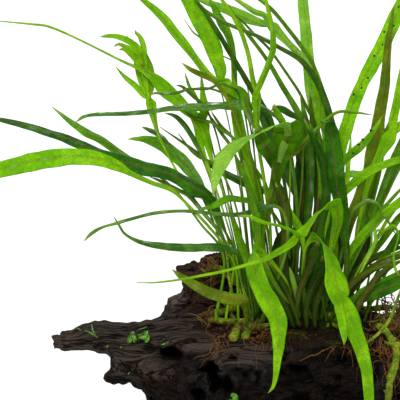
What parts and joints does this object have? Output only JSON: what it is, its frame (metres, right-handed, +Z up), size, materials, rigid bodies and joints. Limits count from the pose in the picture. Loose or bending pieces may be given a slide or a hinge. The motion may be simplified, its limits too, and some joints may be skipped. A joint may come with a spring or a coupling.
{
  "type": "java fern on driftwood",
  "caption": "Clump of narrow-leaved java fern with forked and arching fronds, grown by its rhizomes onto a dark, wet, weathered piece of driftwood that stands on a flat underside",
  "frame": {"origin": "on the flat underside of the driftwood, below the middle of the clump", "axes": "Z up; X along the driftwood, toward its right arm; Y away from the front"},
  "size_m": [0.3249, 0.1895, 0.2404],
  "materials": {
    "driftwood": "dark, wet, deeply weathered and pitted driftwood with a broken gloss",
    "roots": "matt felt of orange-brown roots and moss",
    "rhizome": "yellow-green creeping stem with brown scales and ends",
    "frond_bright": "bright translucent green blade with a brown midrib and netted veins",
    "frond_yellow": "yellow-green translucent blade with netted veins",
    "frond_mid": "mid-green satin blade",
    "frond_dark": "dark green glossy blade",
    "frond_pale": "pale blue-green blade",
    "frond_wet": "wet-looking grey-green blade with a broad sheen"
  },
  "bodies": {
    "root": {"driftwood_trunk": "driftwood", "driftwood_left_arm": "driftwood", "driftwood_right_arm": "driftwood", "driftwood_stump": "driftwood", "root_mat": "roots", "rhizome_front": "rhizome", "rhizome_middle": "rhizome", "rhizome_back": "rhizome", "rhizome_right": "rhizome", "frond_front_drooper": "frond_bright", "frond_front_drooper_lobed": "frond_bright", "frond_front_folded": "frond_bright", "frond_front_broad": "frond_dark", "frond_left_long_pale": "frond_bright", "frond_left_long_dark": "frond_dark", "frond_top_forked_broad": "frond_bright", "frond_centre_three_pronged": "frond_bright", "frond_right_dotted": "frond_bright", "frond_left_forked_crest": "frond_bright", "frond_left_tall_forked": "frond_bright", "frond_left_flat_wet": "frond_wet", "frond_left_low_yellow": "frond_yellow", "frond_left_low_dark": "frond_wet", "frond_left_wiry": "frond_wet", "frond_left_wavy": "frond_mid", "frond_left_middle": "frond_mid", "frond_left_slim_high": "frond_wet", "frond_left_slim_dark": "frond_dark", "frond_top_left_small": "frond_yellow", "frond_top_strap": "frond_mid", "frond_top_forked_slim": "frond_bright", "frond_top_forked_blue": "frond_pale", "frond_top_fringed": "frond_dark", "frond_top_upright": "frond_pale", "frond_top_long_slim": "frond_mid", "frond_top_long_glossy": "frond_dark", "frond_top_middle_slim": "frond_mid", "frond_centre_dark_upright": "frond_dark", "frond_centre_dark_right": "frond_dark", "frond_centre_dark_left": "frond_mid", "frond_centre_tall_dark": "frond_dark", "frond_centre_short": "frond_bright", "frond_right_tall_yellow": "frond_yellow", "frond_right_forked": "frond_bright", "frond_right_dotted_short": "frond_bright", "frond_right_arching": "frond_bright", "frond_right_low_arching": "frond_bright", "frond_right_slim": "frond_mid", "frond_right_two_low": "frond_mid", "frond_right_low_broad": "frond_dark", "frond_far_right_long": "frond_bright", "frond_far_right_dark": "frond_dark", "frond_far_right_low": "frond_bright", "frond_far_right_upright": "frond_mid", "frond_far_right_forked": "frond_bright", "frond_back_left": "frond_mid", "frond_back_middle": "frond_dark", "frond_back_arching": "frond_bright", "frond_back_low": "frond_mid"}
  },
  "joints": []
}
